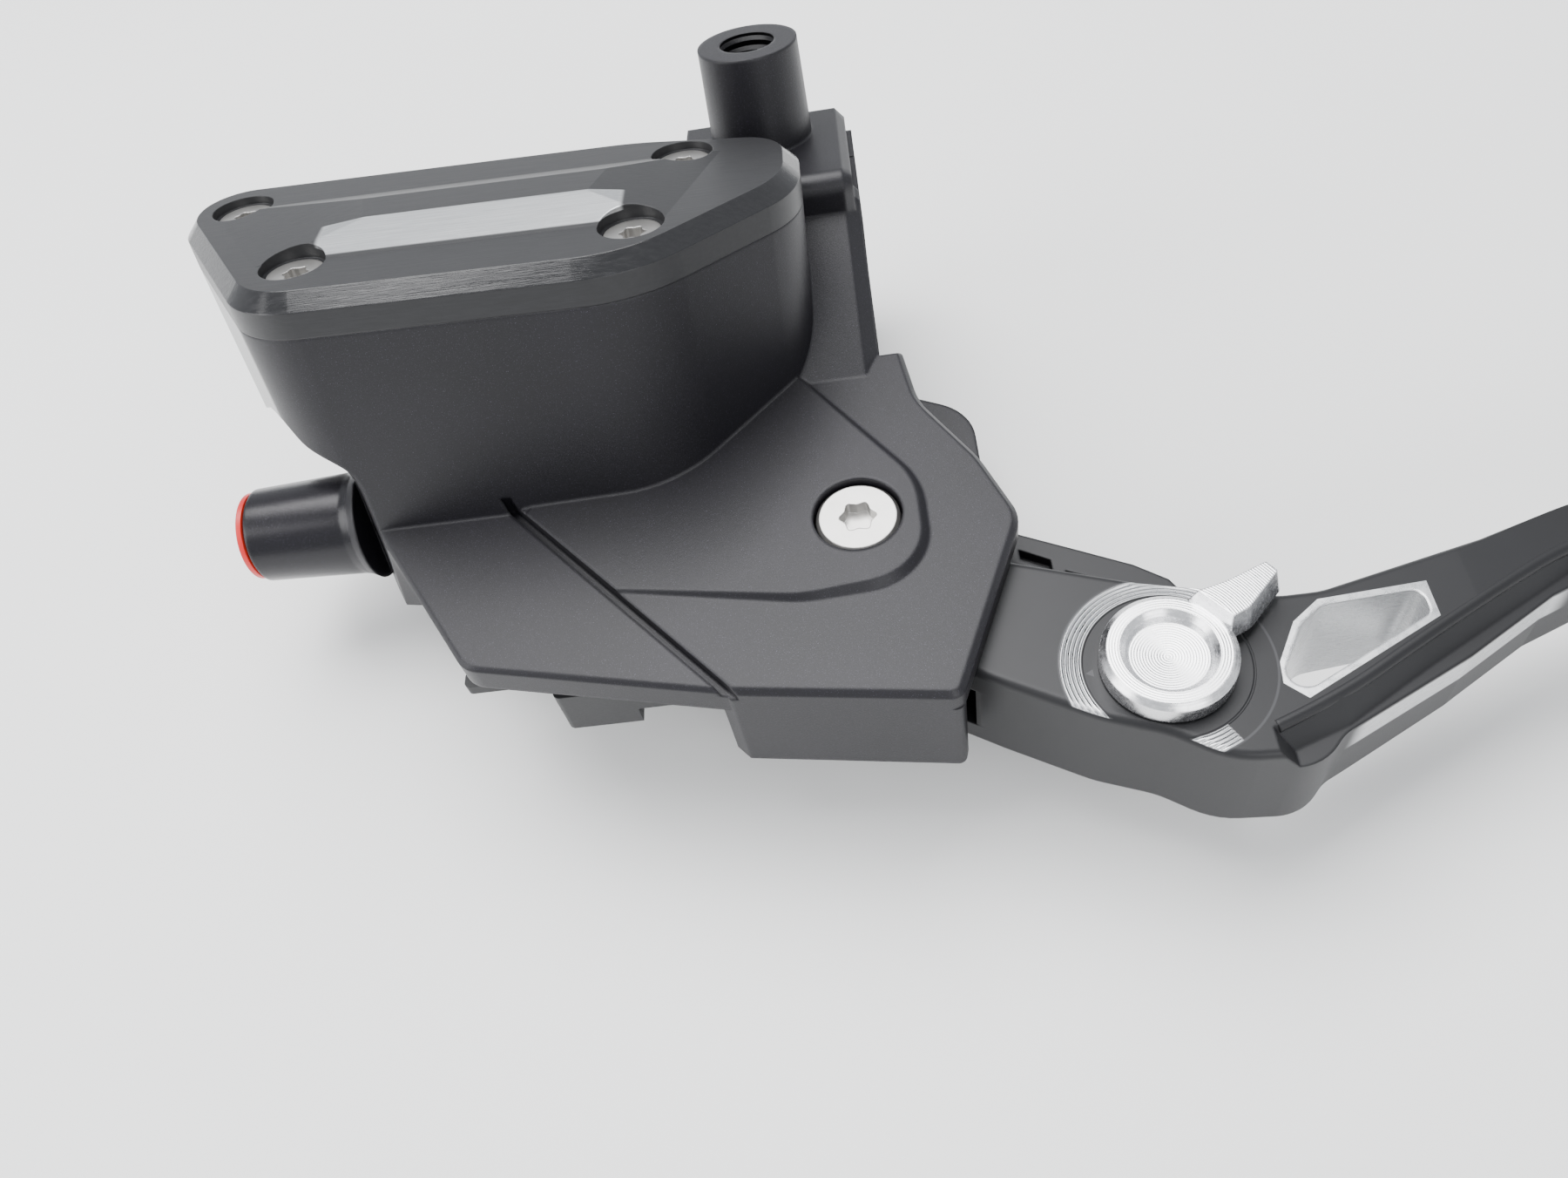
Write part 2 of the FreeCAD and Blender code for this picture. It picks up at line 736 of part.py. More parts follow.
def make_lid():
    body = new_body("reservoir_lid", LID)
    bevel = 2.2
    low = number(D["LidBottom"])
    top = number(D["LidTop"])
    pad(body, "Plate", LID_OUTLINE, D["LidTop"] - D["LidBottom"] - bevel, offset=at(z=low))
    pad(body, "Bevel", LID_OUTLINE, bevel, offset=at(z=top - bevel), taper=-45.0)
    base = new_sketch(body, "PanelBaseSketch", offset=at(z=top - 0.02))
    draw_outline(base, PANEL_BASE)
    ridge = new_sketch(body, "PanelRidgeSketch", offset=at(z=number(D["LidRidge"])))
    draw_outline(ridge, PANEL_RIDGE)
    loft = body.newObject("PartDesign::AdditiveLoft", "RaisedPanel")
    loft.Profile = (base, [""])
    loft.Sections = [(ridge, [""])]
    loft.Ruled = True
    body.Tip = loft
    seats = [(x, y, D["LidScrewHead"] + 0.55) for x, y in LID_SCREWS]
    drill(body, "ScrewRecesses", seats, 4.0, offset=at(z=4.0))
    for i, (x, y) in enumerate(LID_SCREWS, start=1):
        head = number(D["LidScrewHead"]) + 0.12
        points = [(0.0, 0.1), (head, 0.1), (head, -0.1), (2.3, -2.15), (2.3, -8.0), (0.0, -8.0)]
        turn(body, "Countersink%d" % i, points, "Groove", "XZ_Plane", at(x, 0.0, -y))
    cut(body, "GasketRecess", inset(LID_OUTLINE, 2.4), 1.3, offset=at(z=low), back=True)
    cut(body, "AirSpace", inset(CUP, 0.5), 3.0, offset=at(z=low), back=True)
    return body


def make_lid_screws():
    body = many_bodies("reservoir_lid_screws", LID)
    head = number(D["LidScrewHead"])
    shank = [(x, y, D["LidScrewShank"]) for x, y in LID_SCREWS]
    pad_circles(body, "Shanks", shank, 11.0, offset=at(z=-1.0), back=True)
    heads = [(x, y, D["LidScrewHead"] - 0.03) for x, y in LID_SCREWS]
    pad_circles(body, "Heads", heads, 0.2, offset=at(z=0.0), back=True)
    pad_circles(body, "Cones", heads, 1.9, offset=at(z=-0.2), back=True, taper=-43.0)
    sockets = [star(x, y, head * 0.5, head * 0.36) for x, y in LID_SCREWS]
    cut_shapes(body, "Sockets", sockets, 1.4, offset=at(z=0.0))
    return body


def make_diaphragm():
    body = new_body("reservoir_diaphragm", LID)
    low = number(D["LidBottom"])
    pad(body, "Flange", inset(LID_OUTLINE, 2.7), 1.1, offset=at(z=low + 0.05))
    pad(body, "Cup", CUP, 9.3, offset=at(z=low + 0.05), back=True)
    cut(body, "Hollow", inset(CUP, 1.2), 9.5, offset=at(z=low + 1.3))
    holes = [(x, y, D["LidScrewShank"] + 0.2) for x, y in LID_SCREWS]
    drill(body, "ScrewHoles", holes, 4.0, offset=at(z=low + 2.0))
    return body


def make_diaphragm_plate():
    body = new_body("diaphragm_plate", LID)
    pad(body, "Plate", inset(CUP, 1.7), 0.8, offset=at(z=-12.4))
    for i, x in enumerate((10.0, 28.0), start=1):
        rib = [(x, 2.0), (x + 1.2, 2.0), (x + 1.2, 22.0), (x, 22.0)]
        pad(body, "Rib%d" % i, rib, 2.0, offset=at(z=-12.0))
    return body


def make_splash_shield():
    body = new_body("splash_shield", LID)
    floor = number(D["DeepFloor"])
    outline = [(13.0, -4.5, 1.5), (38.0, -4.5, 1.5), (38.0, 8.0, 1.5), (13.0, 8.0, 1.5)]
    pad(body, "Block", outline, 3.4, offset=at(z=floor + 0.05))
    tunnel = [(11.0, -2.9), (40.0, -2.9), (40.0, 6.4), (11.0, 6.4)]
    cut(body, "Tunnel", tunnel, 2.4, offset=at(z=floor), back=True)
    slots = []
    for x in (17.0, 24.0, 31.0):
        slots.append([(x, 0.5), (x + 3.0, 0.5), (x + 3.0, 3.0), (x, 3.0)])
    cut_shapes(body, "Slots", slots, 3.0, offset=at(z=floor + 5.0))
    return body


def make_sight_glass():
    face = facing_rear(22.0, 33.4, -17.0)
    glass = [(0.0, -0.3), (7.3, -0.3), (7.3, -1.8), (0.0, -1.8)]
    turned_part("sight_glass", glass, face)
    seal = [(5.7, -1.85), (7.3, -1.85), (7.3, -2.35), (5.7, -2.35)]
    turned_part("sight_glass_seal", seal, face)


def make_port_cap():
    end = D["TubeEnd"]
    stem = D["PortRadius"] - 0.04
    points = [
        (0.0, end - 0.9),
        (3.2, end - 0.9),
        (3.6, end - 0.6),
        (3.9, end - 0.9),
        (7.08, end - 0.9),
        (7.08, end - 0.05),
        (stem, end - 0.05),
        (stem, end + 7.0),
        (2.6, end + 7.0),
        (2.6, end + 1.5),
        (0.0, end + 1.5),
    ]
    return turned_part("outlet_port_cap", points, along_x(0.0, -44.4, 0.0))


# ------------------------------------------------------------- bar clamp
def make_clamp_cap():
    body = new_body("clamp_cap")
    left = number(D["ClampLeft"])
    face = number(D["ClampGap"])
    ear = number(D["ClampCapEar"])
    tall = number(D["ClampEar"])
    plate = [(face, -tall), (ear, -tall, 1.5), (ear, tall, 1.5), (face, tall)]
    pad(body, "Ears", plate, D["ClampWidth"], "YZ_Plane", at(z=left))
    reach = number(D["ClampCapRadius"])
    bend = reach - face - 0.1
    arch = [(face, -reach), (reach, -reach, bend), (reach, reach, bend), (face, reach)]
    pad(body, "Arch", arch, D["ClampWidth"], "YZ_Plane", at(z=left))
    drill(body, "BarBore", [(0.0, 0.0, D["BarRadius"])], 60.0, "YZ_Plane", at(z=30.0))
    middle = left + number(D["ClampWidth"]) / 2
    rise = D["ClampBoltRise"]
    holes = [(middle, rise, D["ScrewSix"] + 0.3), (middle, -rise, D["ScrewSix"] + 0.3)]
    drill(body, "BoltHoles", holes, 20.0, "XZ_Plane", at(z=-15.0), True)
    seats = [(middle, rise, 5.5), (middle, -rise, 5.5)]
    drill(body, "BoltSeats", seats, 24.0 - ear, "XZ_Plane", at(z=-24.0), True)
    return body


def make_clamp_bolts():
    body = many_bodies("clamp_bolts")
    middle = number(D["ClampLeft"]) + number(D["ClampWidth"]) / 2
    rise = D["ClampBoltRise"]
    seat = number(D["ClampCapEar"]) + 0.05
    heads = [(middle, rise, 5.0), (middle, -rise, 5.0)]
    pad_circles(body, "Heads", heads, 6.0, "XZ_Plane", at(z=-seat), True)
    shanks = [(middle, rise, D["ScrewSix"]), (middle, -rise, D["ScrewSix"])]
    pad_circles(body, "Shanks", shanks, 22.5, "XZ_Plane", at(z=-seat))
    high = number(rise)
    sockets = [hexagon(middle, high, 5.0), hexagon(middle, -high, 5.0)]
    cut_shapes(body, "Sockets", sockets, 3.2, "XZ_Plane", at(z=-seat - 6.0), True)
    return body


# ----------------------------------------------------------------- pivot
def make_pivot():
    place = at(number(D["PivotAlong"]), number(D["PivotRow"]), 0.0)
    head = D["PivotHead"]
    top = D["PivotHeadTop"]
    seat = D["PivotHeadSeat"] + 0.05
    bolt = new_body("pivot_bolt", place)
    points = [
        (0.0, top),
        (head - 0.5, top),
        (head, top - 0.5),
        (head, seat),
        (D["PivotShank"], seat),
        (D["PivotShank"], -20.6),
        (D["PivotShank"] - 0.8, -21.4),
        (0.0, -21.4),
    ]
    turn(bolt, "Bolt", points, "Revolution", "XZ_Plane", LEVEL)
    cut(bolt, "Socket", star(0.0, 0.0, 2.8, 2.05), 1.9, offset=at(z=number(top)))
    nut = new_body("pivot_nut", place)
    low = number(D["EarBottom"]) - 0.05
    pad(nut, "Hexagon", hexagon(0.0, 0.0, 13.0), 4.6, offset=at(z=low), back=True)
    pad_circles(nut, "Collar", [(0.0, 0.0, 5.4)], 2.0, offset=at(z=low - 4.6), back=True)
    drill(nut, "Thread", [(0.0, 0.0, D["PivotShank"] + 0.03)], 10.0, offset=at(z=low + 1.0))
    points = [
        (D["PivotShank"] + 0.05, -9.3),
        (D["BushRadius"], -9.3),
        (D["BushRadius"], 9.3),
        (D["PivotShank"] + 0.05, 9.3),
    ]
    turned_part("pivot_bush", points, place)


# ------------------------------------------------------------------ lever
CARRIER = [
    (-3.0, -56.0, 2.0),
    (-3.0, -79.5, 3.0),
    (14.0, -80.5, 4.0),
    (37.5, -88.0, 3.0),
    (41.0, -84.0, 1.0),
    (47.0, -84.6, 2.0),
    (51.5, -81.5, 2.0),
    (49.0, -76.9, 1.0),
    (44.8, -73.8),
    (37.3, -69.9),
    (30.5, -66.4, 2.0),
    (17.0, -58.0, 5.0),
    (6.0, -52.0, 3.0),
]
KNOCKER = [(-2.9, -46.0), (-2.9, -60.0), (9.0, -60.0), (6.0, -44.4), (4.5, -41.0)]
BLADE = [
    (-3.2, -76.5, 9.5),
    (-3.2, -57.5, 9.5),
    (19.0, -57.5, 9.5),
    (22.0, -70.5, 6.0),
    (28.0, -74.2, 8.0),
    (43.6, -79.9),
    (60.8, -84.5, 6.0),
    (66.0, -84.5, 10.0),
    (87.6, -79.4),
    (99.7, -75.6, 60.0),
    (124.0, -70.6, 60.0),
    (158.0, -70.0, 60.0),
    (174.0, -74.5, 14.0),
    (187.5, -72.0, 6.0),
    (190.0, -87.0, 6.0),
    (174.0, -84.5, 14.0),
    (156.0, -80.6, 60.0),
    (126.0, -80.0, 60.0),
    (108.0, -82.2, 40.0),
    (94.8, -87.4),
    (82.2, -94.8),
    (64.2, -103.6, 6.0),
    (60.5, -107.6, 7.0),
    (49.5, -107.0, 12.0),
    (43.0, -102.6, 14.0),
    (35.2, -99.6, 20.0),
    (24.2, -93.3),
    (14.0, -87.0, 10.0),
    (2.0, -83.0, 10.0),
]
CARRIER_SPACE = [
    (-12.0, -44.0),
    (-12.0, -92.0),
    (19.0, -90.5, 3.0),
    (36.0, -97.0),
    (43.0, -101.2, 4.0),
    (50.6, -101.2, 5.0),
    (54.0, -94.0, 3.0),
    (55.5, -82.0),
    (55.5, -44.0),
]
WINDOW = [
    (55.2, -101.6, 2.2),
    (77.9, -90.0, 1.6),
    (77.9, -86.2, 1.8),
    (65.4, -87.0, 4.0),
    (62.0, -89.6, 4.0),
]
TOP_BEVEL = [
    (55.0, -103.4),
    (63.8, -100.2),
    (75.4, -93.5),
    (87.4, -87.0),
    (97.5, -81.6),
    (112.0, -78.2),
    (112.0, -96.0),
    (55.0, -112.0),
]


def snail(start, finish, large, small):
    """Cam edge: a steady fall from the large to the small radius between two angles."""
    points = []
    for i in range(13):
        angle = math.radians(start + (finish - start) * i / 12.0)
        radius = large + (small - large) * i / 12.0
        points.append((radius * math.cos(angle), radius * math.sin(angle)))
    for i in range(1, 8):
        angle = math.radians(finish + (360.0 - finish + start - 25.0) * i / 8.0)
        points.append((small * math.cos(angle), small * math.sin(angle)))
    for i in range(3):
        angle = math.radians(start - 25.0 + 8.0 * i)
        radius = small + (large - small) * (i + 1) / 3.2
        points.append((radius * math.cos(angle), radius * math.sin(angle)))
    return points


def make_carrier():
    body = new_body("lever_carrier")
    half = D["CarrierHalf"]
    low = number(half)
    pad(body, "Arm", CARRIER, half * 2, offset=at(z=-low))
    pad(body, "KnockerRoot", KNOCKER, half * 2, offset=at(z=-low))
    nose = [(1.0, D["CylinderRow"], 5.0)]
    pad_circles(body, "KnockerNose", nose, half * 2, offset=at(z=-low))
    pivot = [(D["PivotAlong"], D["PivotRow"], D["BushRadius"] + 0.02)]
    drill(body, "BushHole", pivot, 20.0, offset=at(z=10.0))
    slots = [
        [(29.8, -68.9), (29.8, -70.6), (33.9, -73.0), (33.9, -71.3)],
        [(35.6, -73.4), (35.6, -75.2), (43.3, -79.0), (43.3, -77.2)],
    ]
    cut_shapes(body, "LighteningSlots", slots, 1.6, offset=at(z=low))
    return body


def make_blade():
    body = new_body("lever_blade")
    top = number(D["LeverTop"])
    low = number(D["LeverBottom"])
    pad(body, "Core", BLADE, D["LeverTop"] - D["LeverBottom"], offset=at(z=low))
    round_edges(body, "EdgeRounds", lambda e: flat_at(e, top) or flat_at(e, low), 1.1)
    cut(body, "CarrierSlot", CARRIER_SPACE, 9.2, offset=at(z=4.6))
    pivot = [(D["PivotAlong"], D["PivotRow"], D["BushRadius"] + 0.05)]
    drill(body, "PivotHole", pivot, 24.0, offset=at(z=12.0))
    cut(body, "Window", WINDOW, 30.0, offset=at(z=14.0))
    shaft = [(D["KnobAlong"], D["KnobRow"], 2.95)]
    drill(body, "AdjusterHole", shaft, 24.0, offset=at(z=12.0))
    cut(body, "TopBevel", TOP_BEVEL, 3.4, offset=at(z=top), taper=-38.0)
    thin = [(84.0, top), (200.0, top - 3.6), (200.0, top + 3.0), (84.0, top + 3.0)]
    cut(body, "TopFall", thin, 160.0, "XZ_Plane", at(z=150.0))
    thin = [(56.0, low), (84.0, low + 2.4), (200.0, low + 3.4), (200.0, low - 2.0), (56.0, low - 2.0)]
    cut(body, "UndersideRise", thin, 160.0, "XZ_Plane", at(z=150.0))
    detent = [(D["KnobAlong"] - 6.2, D["KnobRow"], 1.3)]
    drill(body, "DetentHole", detent, 4.0, offset=at(z=top))
    return body


def make_knob():
    place = at(number(D["KnobAlong"]), number(D["KnobRow"]), 0.0)
    knob = new_body("adjuster_knob", place)
    radius = D["KnobRadius"]
    base = number(D["LeverTop"]) + 0.3
    points = [
        (2.0, base),
        (radius, base),
        (radius, 12.3),
        (radius - 0.8, 13.1),
        (radius - 2.4, 13.1),
        (5.3, 12.3),
        (5.0, 11.5),
        (0.0, 11.3),
        (0.0, 10.6),
        (2.0, 10.6),
    ]
    turn(knob, "Disc", points, "Revolution", "XZ_Plane", LEVEL)
    wing = [(3.2, 7.4), (7.8, 1.4), (10.8, 2.8, 3.0), (16.2, 8.4, 1.2), (14.2, 11.2, 1.2), (8.4, 8.8, 3.0)]
    pad(knob, "Wing", wing, 3.8, offset=at(z=11.2), taper=-14.0)
    shaft = [
        (0.0, 10.5),
        (1.96, 10.5),
        (1.96, base - 0.05),
        (2.9, base - 0.05),
        (2.9, -9.9),
        (2.3, -9.9),
        (2.3, -10.6),
        (2.9, -10.6),
        (2.9, -11.2),
        (0.0, -11.2),
    ]
    turned_part("adjuster_shaft", shaft, place)
    cam = new_body("adjuster_cam", place)
    low = number(D["CarrierHalf"]) - 0.2
    pad(cam, "Snail", snail(90.0, 178.0, 7.0, 3.9), low * 2, offset=at(z=-low))
    drill(cam, "ShaftHole", [(0.0, 0.0, 2.92)], 12.0, offset=at(z=6.0))
    ring = [(2.34, -9.98), (4.4, -9.98), (4.4, -10.52), (2.34, -10.52)]
    turned_part("knob_retaining_ring", ring, place)
    hole = at(number(D["KnobAlong"]) - 6.2, number(D["KnobRow"]), 0.0)
    ball = doc.addObject("Part::Sphere", "detent_ball")
    ball.Label = "detent_ball"
    ball.Radius = 1.2
    ball.Placement = at(hole.Base.x, hole.Base.y, 8.45)
    PARTS.append(ball)
    make_spring("detent_spring", at(hole.Base.x, hole.Base.y, 5.55), 0.9, 0.2, 0.55, 1.5)


def make_spring(name, place, radius, wire, pitch, height):
    """A coil spring swept along its own helix."""
    body = new_body(name, place)
    sketch = new_sketch(body, "WireSketch", "XZ_Plane", LEVEL)
    draw_circle(sketch, radius, 0.0, wire)
    coil = body.newObject("PartDesign::AdditiveHelix", "Coil")
    coil.Profile = (sketch, [""])
    coil.ReferenceAxis = (sketch, ["V_Axis"])
    coil.Mode = 0
    coil.Pitch = pitch
    coil.Height = height
    coil.Angle = 0.0
    coil.LeftHanded = False
    coil.Reversed = False
    body.Tip = coil
    return body


# ----------------------------------------------------------------- piston
def make_piston_group():
    axis = along_x(0.0, -44.4, 0.0)
    land = D["PistonRadius"]
    points = [
        (0.0, -41.0),
        (3.0, -41.0),
        (3.0, -37.0),
        (land, -37.0),
        (land, -34.6),
        (5.0, -34.0),
        (5.0, -24.6),
        (land, -24.2),
        (land, -23.6),
        (5.5, -23.6),
        (5.5, -20.4),
        (land, -20.4),
        (land, -16.7),
        (4.6, -16.7),
        (4.6, -5.0),
        (4.0, -4.3),
        (0.0, -4.3),
    ]
    turned_part("piston", points, axis)
    lip = 7.9
    cup = [
        (3.05, -37.05),
        (lip - 0.1, -37.05),
        (lip, -40.4),
        (lip - 0.9, -40.4),
        (lip - 1.5, -38.4),
        (3.05, -38.4),
    ]
    turned_part("primary_cup", cup, axis)
    cup = [(5.55, -23.5), (lip, -23.5), (lip, -22.9), (6.6, -22.0), (lip, -20.5), (5.55, -20.5)]
    turned_part("secondary_cup", cup, axis)
    seat = [(3.05, -38.5), (5.8, -38.5), (5.8, -39.5), (3.9, -39.5), (3.9, -40.9), (3.05, -40.9)]
    turned_part("spring_seat", seat, axis)
    make_spring("return_spring", along_x(-56.3, -44.4, 0.0), 5.0, 0.55, 2.6, 15.4)
    washer = [(4.9, -16.4), (7.9, -16.4), (7.9, -15.3), (4.9, -15.3)]
    turned_part("piston_stop_washer", washer, axis)
    make_circlip(axis)
    seal = [
        (4.68, -12.4),
        (9.7, -12.4),
        (9.7, -10.8),
        (8.6, -10.8),
        (8.6, -11.6),
        (5.6, -11.6),
        (5.0, -10.8),
        (4.68, -10.8),
    ]
    turned_part("dust_seal", seal, axis)


def make_circlip(axis):
    """An open ring with two pierced lugs, sitting in the groove of the bore."""
    body = new_body("circlip", axis)
    low = -15.1
    pad_circles(body, "Ring", [(0.0, 0.0, 8.8)], 0.95, offset=at(z=low))
    drill(body, "Inside", [(0.0, 0.0, 7.2)], 4.0, offset=at(z=low + 2.0))
    opening = [(-9.5, -1.6), (0.0, -1.6), (0.0, 1.6), (-9.5, 1.6)]
    cut(body, "Opening", opening, 4.0, offset=at(z=low + 2.0))
    lugs = [[(-7.6, 1.6), (-5.2, 1.6), (-5.2, 3.8), (-7.6, 3.8)]]
    lugs.append([(-7.6, -1.6), (-5.2, -1.6), (-5.2, -3.8), (-7.6, -3.8)])
    for i, corners in enumerate(lugs, start=1):
        pad(body, "Lug%d" % i, corners, 0.95, offset=at(z=low))
    drill(body, "PlierHoles", [(-6.3, 2.6, 0.6), (-6.3, -2.6, 0.6)], 4.0, offset=at(z=low + 2.0))


# ----------------------------------------------------------- brake switch
def make_switch():
    body = new_body("brake_light_switch")
    outline = [(-37.0, -84.8, 1.0), (-12.8, -84.8, 1.0), (-12.8, -74.5, 1.0), (-37.0, -74.5, 1.0)]
    pad(body, "Case", outline, 8.6, offset=at(z=-4.2))
    flange = [(-39.0, -83.0, 2.0), (-16.0, -83.0, 2.0), (-16.0, -72.0, 2.0), (-39.0, -72.0, 2.0)]
    pad(body, "Flange", flange, 3.2, offset=at(z=4.3))
    notch = [(-26.0, -90.0), (-10.0, -90.0), (-10.0, -81.6), (-26.0, -81.6)]
    cut(body, "Step", notch, 3.4, offset=at(z=-0.8))
    tail = [(-52.5, -77.5, 0.8), (-36.0, -77.5), (-36.0, -74.8), (-52.5, -74.8, 0.8)]
    pad(body, "Terminal", tail, 2.0, offset=at(z=-3.4))
    drill(body, "PlungerBore", [(-77.0, 0.0, 1.56)], 14.0, "YZ_Plane", at(z=-10.0))
    holes = [(-35.6, -74.0, 1.3), (-19.5, -74.0, 1.3)]
    drill(body, "ScrewHoles", holes, 20.0, offset=at(z=9.0))
    screws = many_bodies("switch_screws")
    shanks = [(-35.6, -74.0, 1.25), (-19.5, -74.0, 1.25)]
    heads = [(-35.6, -74.0, 2.3), (-19.5, -74.0, 2.3)]
    pad_circles(screws, "Heads", heads, 1.5, offset=at(z=-4.25), back=True)
    pad_circles(screws, "Shanks", shanks, 15.8, offset=at(z=-4.25))
    plunger = [(0.0, -21.0), (1.5, -21.0), (1.5, -3.9), (1.1, -3.3), (0.0, -3.3)]
    turned_part("switch_plunger", plunger, along_x(0.0, -77.0, 0.0))


def main():
    make_housing()
    make_lid()
    make_lid_screws()
    make_diaphragm()
    make_diaphragm_plate()
    make_splash_shield()
    make_sight_glass()
    make_port_cap()
    make_clamp_cap()
    make_clamp_bolts()
    make_pivot()
    make_carrier()
    make_blade()
    make_knob()
    make_piston_group()
    make_switch()
    doc.recompute()
    check_parts()
    write_parts()


def check_parts():
    for item in doc.Objects:
        bad = [word for word in item.State if word in ("Invalid", "Error")]
        if bad:
            raise RuntimeError("%s is %s" % (item.Name, ", ".join(bad)))
    for part in PARTS:
        shape = part.Shape
        if shape.isNull() or not shape.isValid():
            raise RuntimeError("%s has no valid shape" % part.Label)


def write_parts():
    os.makedirs("parts", exist_ok=True)
    for part in PARTS:
        part.Shape.exportStep("parts/%s.step" % part.Label)


main()
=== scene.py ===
import json
import math

import bpy
from mathutils import Matrix, Vector


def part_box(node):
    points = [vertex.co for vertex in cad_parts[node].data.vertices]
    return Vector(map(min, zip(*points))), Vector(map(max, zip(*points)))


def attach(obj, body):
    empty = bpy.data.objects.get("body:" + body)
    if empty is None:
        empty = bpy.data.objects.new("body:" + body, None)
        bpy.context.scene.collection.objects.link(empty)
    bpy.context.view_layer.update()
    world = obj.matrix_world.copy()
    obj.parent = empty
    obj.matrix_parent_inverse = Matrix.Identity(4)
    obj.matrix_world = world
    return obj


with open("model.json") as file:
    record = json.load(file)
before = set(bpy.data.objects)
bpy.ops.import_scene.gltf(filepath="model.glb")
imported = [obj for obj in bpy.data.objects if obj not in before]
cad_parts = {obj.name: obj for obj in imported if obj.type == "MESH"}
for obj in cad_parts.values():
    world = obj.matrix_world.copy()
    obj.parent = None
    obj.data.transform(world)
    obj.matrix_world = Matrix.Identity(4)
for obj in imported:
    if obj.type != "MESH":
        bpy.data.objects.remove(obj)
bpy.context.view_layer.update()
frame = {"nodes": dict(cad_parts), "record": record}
MM = 0.001
# places and outlines below are in millimetres, in the part's own frame
KNOB = Vector((44.6, -93.2, 0.0))
CRESCENT_PITCH = 0.54
THREAD_PITCH = 1.5
TUBE_STARTS_X = -70.5
BEAD_RADIUS = 0.95
BLADE_TOP = 9.1
BEAD_SINK = 0.5
BLADE_FALL_FROM_X = 84.0
BLADE_FALL_SLOPE = 0.031
LID_AT = Vector((-63.2, -38.4, 45.7))
LID_TURN = (math.radians(-15.1), math.radians(1.8), 0.0)
WINDOW = [
    (60.4, -98.95), (77.9, -90.0), (77.9, -86.2), (65.4, -87.0), (62.0, -89.6), (59.0, -94.9),
    (58.7, -97.3),
]
BEAD = [
    (55.5, -103.0), (63.8, -99.9), (75.4, -93.3), (87.4, -86.8), (97.5, -81.7),
    (108.0, -79.0), (124.0, -77.2), (150.0, -77.6),
]


class Look:
    """A procedural material built node by node, in millimetres of the part's own frame."""

    def __init__(self, name):
        self.material = bpy.data.materials.new(name)
        self.material.use_nodes = True
        self.tree = self.material.node_tree
        self.tree.nodes.clear()
        where = self.node("TexCoord", out="Object")
        self.point = self.node("VectorMath", {0: where, "Scale": 1000.0}, operation="SCALE")
        self.facing = self.node("TexCoord", out="Normal")

    def node(self, kind, inputs=None, out=0, **settings):
        made = self.tree.nodes.new("ShaderNode" + kind)
        for key, value in settings.items():
            setattr(made, key, value)
        for key, value in (inputs or {}).items():
            if isinstance(value, bpy.types.NodeSocket):
                self.tree.links.new(value, made.inputs[key])
            else:
                made.inputs[key].default_value = value
        return made.outputs[out]

    def math(self, operation, a, b=0.0, clamp=False):
        return self.node("Math", {0: a, 1: b}, operation=operation, use_clamp=clamp)

    def dot(self, vector, direction):
        return self.node("VectorMath", {0: vector, 1: direction}, out="Value", operation="DOT_PRODUCT")

    def moved(self, vector, shift):
        return self.node("VectorMath", {0: vector, 1: shift}, operation="SUBTRACT")

    def flat_length(self, vector):
        flat = self.node("VectorMath", {0: vector, 1: (1.0, 1.0, 0.0)}, operation="MULTIPLY")
        return self.node("VectorMath", {0: flat}, out="Value", operation="LENGTH")

    def step(self, value, low, high):
        """0 below low, 1 above high, smooth between; low may be the larger."""
        inputs = {"Value": value, "From Min": low, "From Max": high, "To Min": 0.0, "To Max": 1.0}
        return self.node("MapRange", inputs, interpolation_type="SMOOTHSTEP")

    def all_of(self, *masks):
        result = masks[0]
        for mask in masks[1:]:
            result = self.math("MULTIPLY", result, mask)
        return result

    def noise(self, scale, detail=2.0, stretch=None, vector=None):
        vector = vector or self.point
        if stretch:
            vector = self.node("VectorMath", {0: vector, 1: stretch}, operation="MULTIPLY")
        inputs = {"Vector": vector, "Scale": scale, "Detail": detail, "Roughness": 0.6}
        return self.node("TexNoise", inputs)

    def mix(self, factor, a, b):
        if isinstance(a, (int, float)) or (isinstance(a, bpy.types.NodeSocket) and a.type == "VALUE"):
            return self.node("Mix", {0: factor, 2: a, 3: b}, out=0, data_type="FLOAT")
        return self.node("Mix", {0: factor, 6: a, 7: b}, out=2, data_type="RGBA")

    def range(self, value, low, high, start=0.0, end=1.0):
        inputs = {"Value": value, "From Min": start, "From Max": end, "To Min": low, "To Max": high}
        return self.node("MapRange", inputs)

    def inside(self, polygon):
        """Signed distance to a convex polygon in the XY plane, negative inside."""
        result = None
        count = len(polygon)
        for i in range(count):
            a = Vector(polygon[i])
            b = Vector(polygon[(i + 1) % count])
            along = (b - a).normalized()
            normal = Vector((along.y, -along.x, 0.0))
            offset = normal.x * a.x + normal.y * a.y
            far = self.math("SUBTRACT", self.dot(self.point, tuple(normal)), offset)
            result = far if result is None else self.math("MAXIMUM", result, far)
        return result

    def bump(self, height, strength, distance=0.1, normal=None):
        inputs = {"Height": height, "Strength": strength, "Distance": distance * MM}
        if normal is not None:
            inputs["Normal"] = normal
        return self.node("Bump", inputs)

    def edges(self, radius):
        return self.node("Bevel", {"Radius": radius * MM}, samples=6)


def finish(look, **inputs):
    named = {key.replace("_", " "): value for key, value in inputs.items()}
    shader = look.node("BsdfPrincipled", named)
    output = look.tree.nodes.new("ShaderNodeOutputMaterial")
    look.tree.links.new(shader, output.inputs["Surface"])
    return look.material


def rgb(r, g, b):
    return (r, g, b, 1.0)


